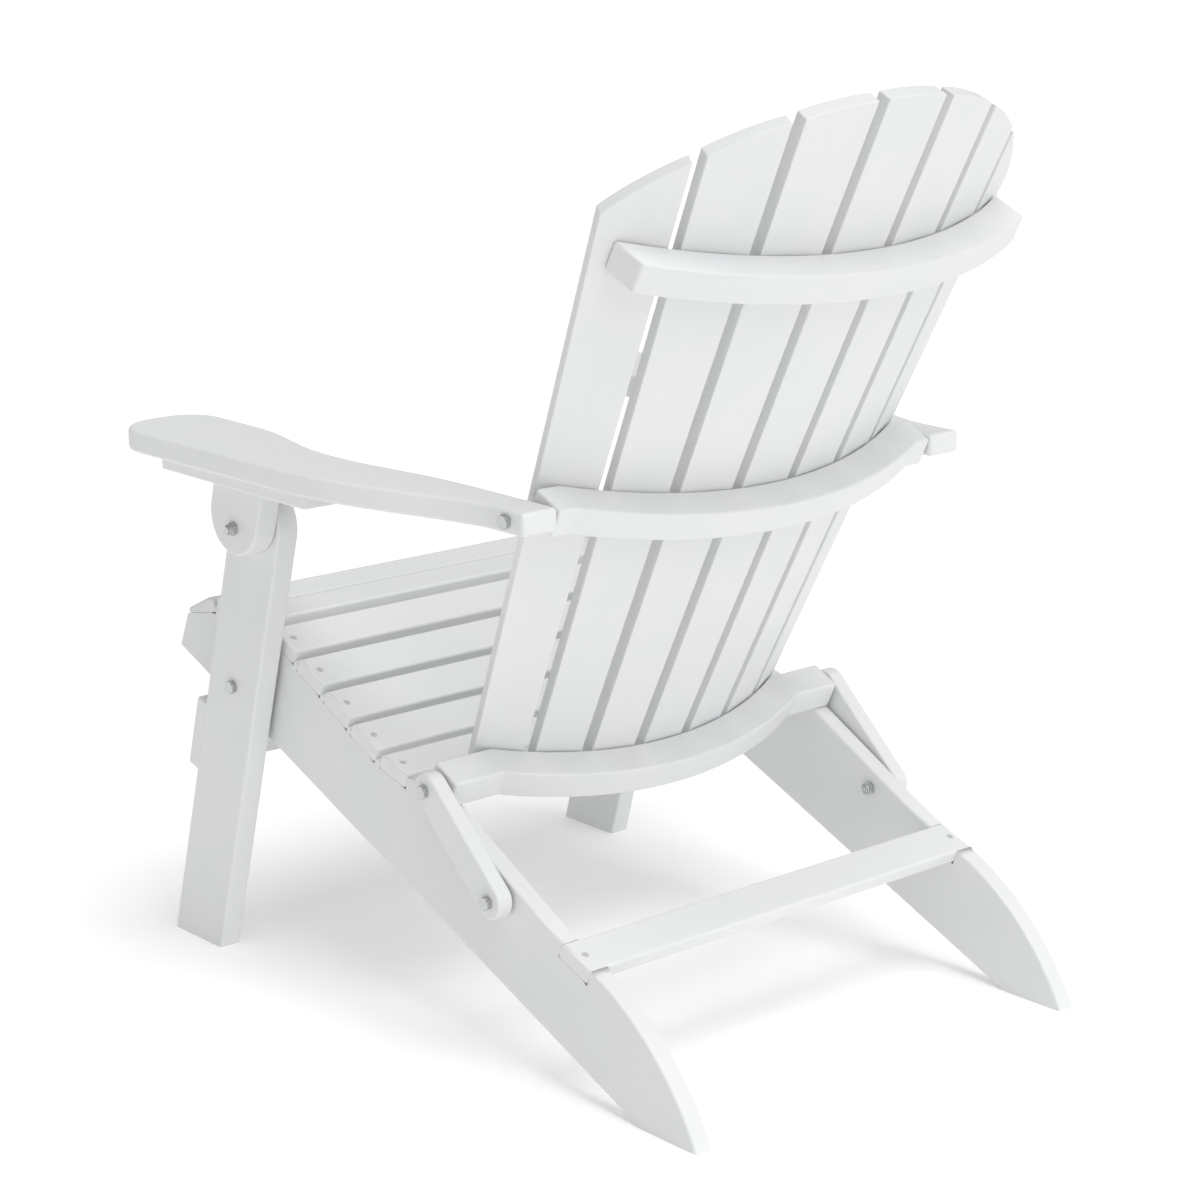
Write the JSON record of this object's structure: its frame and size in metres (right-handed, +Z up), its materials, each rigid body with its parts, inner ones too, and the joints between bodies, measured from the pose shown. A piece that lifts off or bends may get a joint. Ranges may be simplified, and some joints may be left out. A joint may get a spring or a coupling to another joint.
{
  "type": "folding adirondack chair",
  "caption": "Folding adirondack chair in white plastic lumber: slatted contoured seat, fanned slatted back on curved braces, broad arms, leaning front legs and steel pivot bolts.",
  "frame": {"origin": "on the ground under the middle of the chair's bounding box", "axes": "+X is the sitter's left, the sitter faces -Y, +Z is up"},
  "size_m": [0.725, 0.8364, 0.9643],
  "materials": {
    "lumber": "white through-coloured plastic lumber, satin, fine brushed texture, eased edges",
    "steel": "stainless bolts and lock nuts, plain"
  },
  "bodies": {
    "seat_frame": {"left_rail": "lumber", "right_rail": "lumber", "seat_slat_1": "lumber", "seat_slat_2": "lumber", "seat_slat_3": "lumber", "seat_slat_4": "lumber", "seat_slat_5": "lumber", "seat_slat_6": "lumber", "seat_slat_7": "lumber", "seat_slat_8": "lumber", "rear_stretcher": "lumber"},
    "front_leg_frame": {"left_front_leg": "lumber", "right_front_leg": "lumber", "front_stretcher": "lumber", "left_leg_bolt": "steel", "right_leg_bolt": "steel", "left_leg_nut": "steel", "right_leg_nut": "steel"},
    "left_arm": {"left_arm_board": "lumber", "left_arm_cleat": "lumber", "left_arm_ear": "lumber", "left_arm_bolt": "steel", "left_arm_nut": "steel", "left_back_bolt": "steel"},
    "right_arm": {"right_arm_board": "lumber", "right_arm_cleat": "lumber", "right_arm_ear": "lumber", "right_arm_bolt": "steel", "right_arm_nut": "steel", "right_back_bolt": "steel"},
    "left_link_set": {"left_link": "lumber", "left_brace_bolt": "steel", "left_link_bolt": "steel", "left_link_nut": "steel"},
    "right_link_set": {"right_link": "lumber", "right_brace_bolt": "steel", "right_link_bolt": "steel", "right_link_nut": "steel"},
    "backrest": {"lower_brace": "lumber", "middle_brace": "lumber", "upper_brace": "lumber", "back_slat_1": "lumber", "back_slat_2": "lumber", "back_slat_3": "lumber", "back_slat_4": "lumber", "back_slat_5": "lumber", "back_slat_6": "lumber", "back_slat_7": "lumber"}
  },
  "joints": [
    {"name": "front_leg_fold", "type": "hinge", "parent": "seat_frame", "child": "front_leg_frame", "pos_m": [0, -0.27222, 0.30743], "axis": [1, 0, 0], "range_deg": [0, 74]},
    {"name": "left_arm_fold", "type": "hinge", "parent": "front_leg_frame", "child": "left_arm", "pos_m": [0.288, -0.2222, 0.4928], "axis": [1, 0, 0], "range_deg": [-83.9, 0]},
    {"name": "right_arm_fold", "type": "hinge", "parent": "front_leg_frame", "child": "right_arm", "pos_m": [-0.288, -0.2222, 0.4928], "axis": [1, 0, 0], "range_deg": [-83.9, 0]},
    {"name": "left_link_fold", "type": "hinge", "parent": "seat_frame", "child": "left_link_set", "pos_m": [0.2818, 0.1408, 0.1766], "axis": [1, 0, 0], "range_deg": [-111, 0]},
    {"name": "right_link_fold", "type": "hinge", "parent": "seat_frame", "child": "right_link_set", "pos_m": [-0.2818, 0.1408, 0.1766], "axis": [1, 0, 0], "range_deg": [-111, 0]},
    {"name": "back_fold", "type": "hinge", "parent": "left_link_set", "child": "backrest", "pos_m": [0, 0.0432, 0.2665], "axis": [1, 0, 0], "range_deg": [0, 194]}
  ],
  "couplings": [
    {"joint": "left_arm_fold", "follows": "front_leg_fold", "ratio": -1.1273},
    {"joint": "right_arm_fold", "follows": "front_leg_fold", "ratio": -1.1273},
    {"joint": "left_link_fold", "follows": "front_leg_fold", "ratio": -1.4865},
    {"joint": "right_link_fold", "follows": "front_leg_fold", "ratio": -1.4865},
    {"joint": "back_fold", "follows": "front_leg_fold", "ratio": 2.6109}
  ]
}
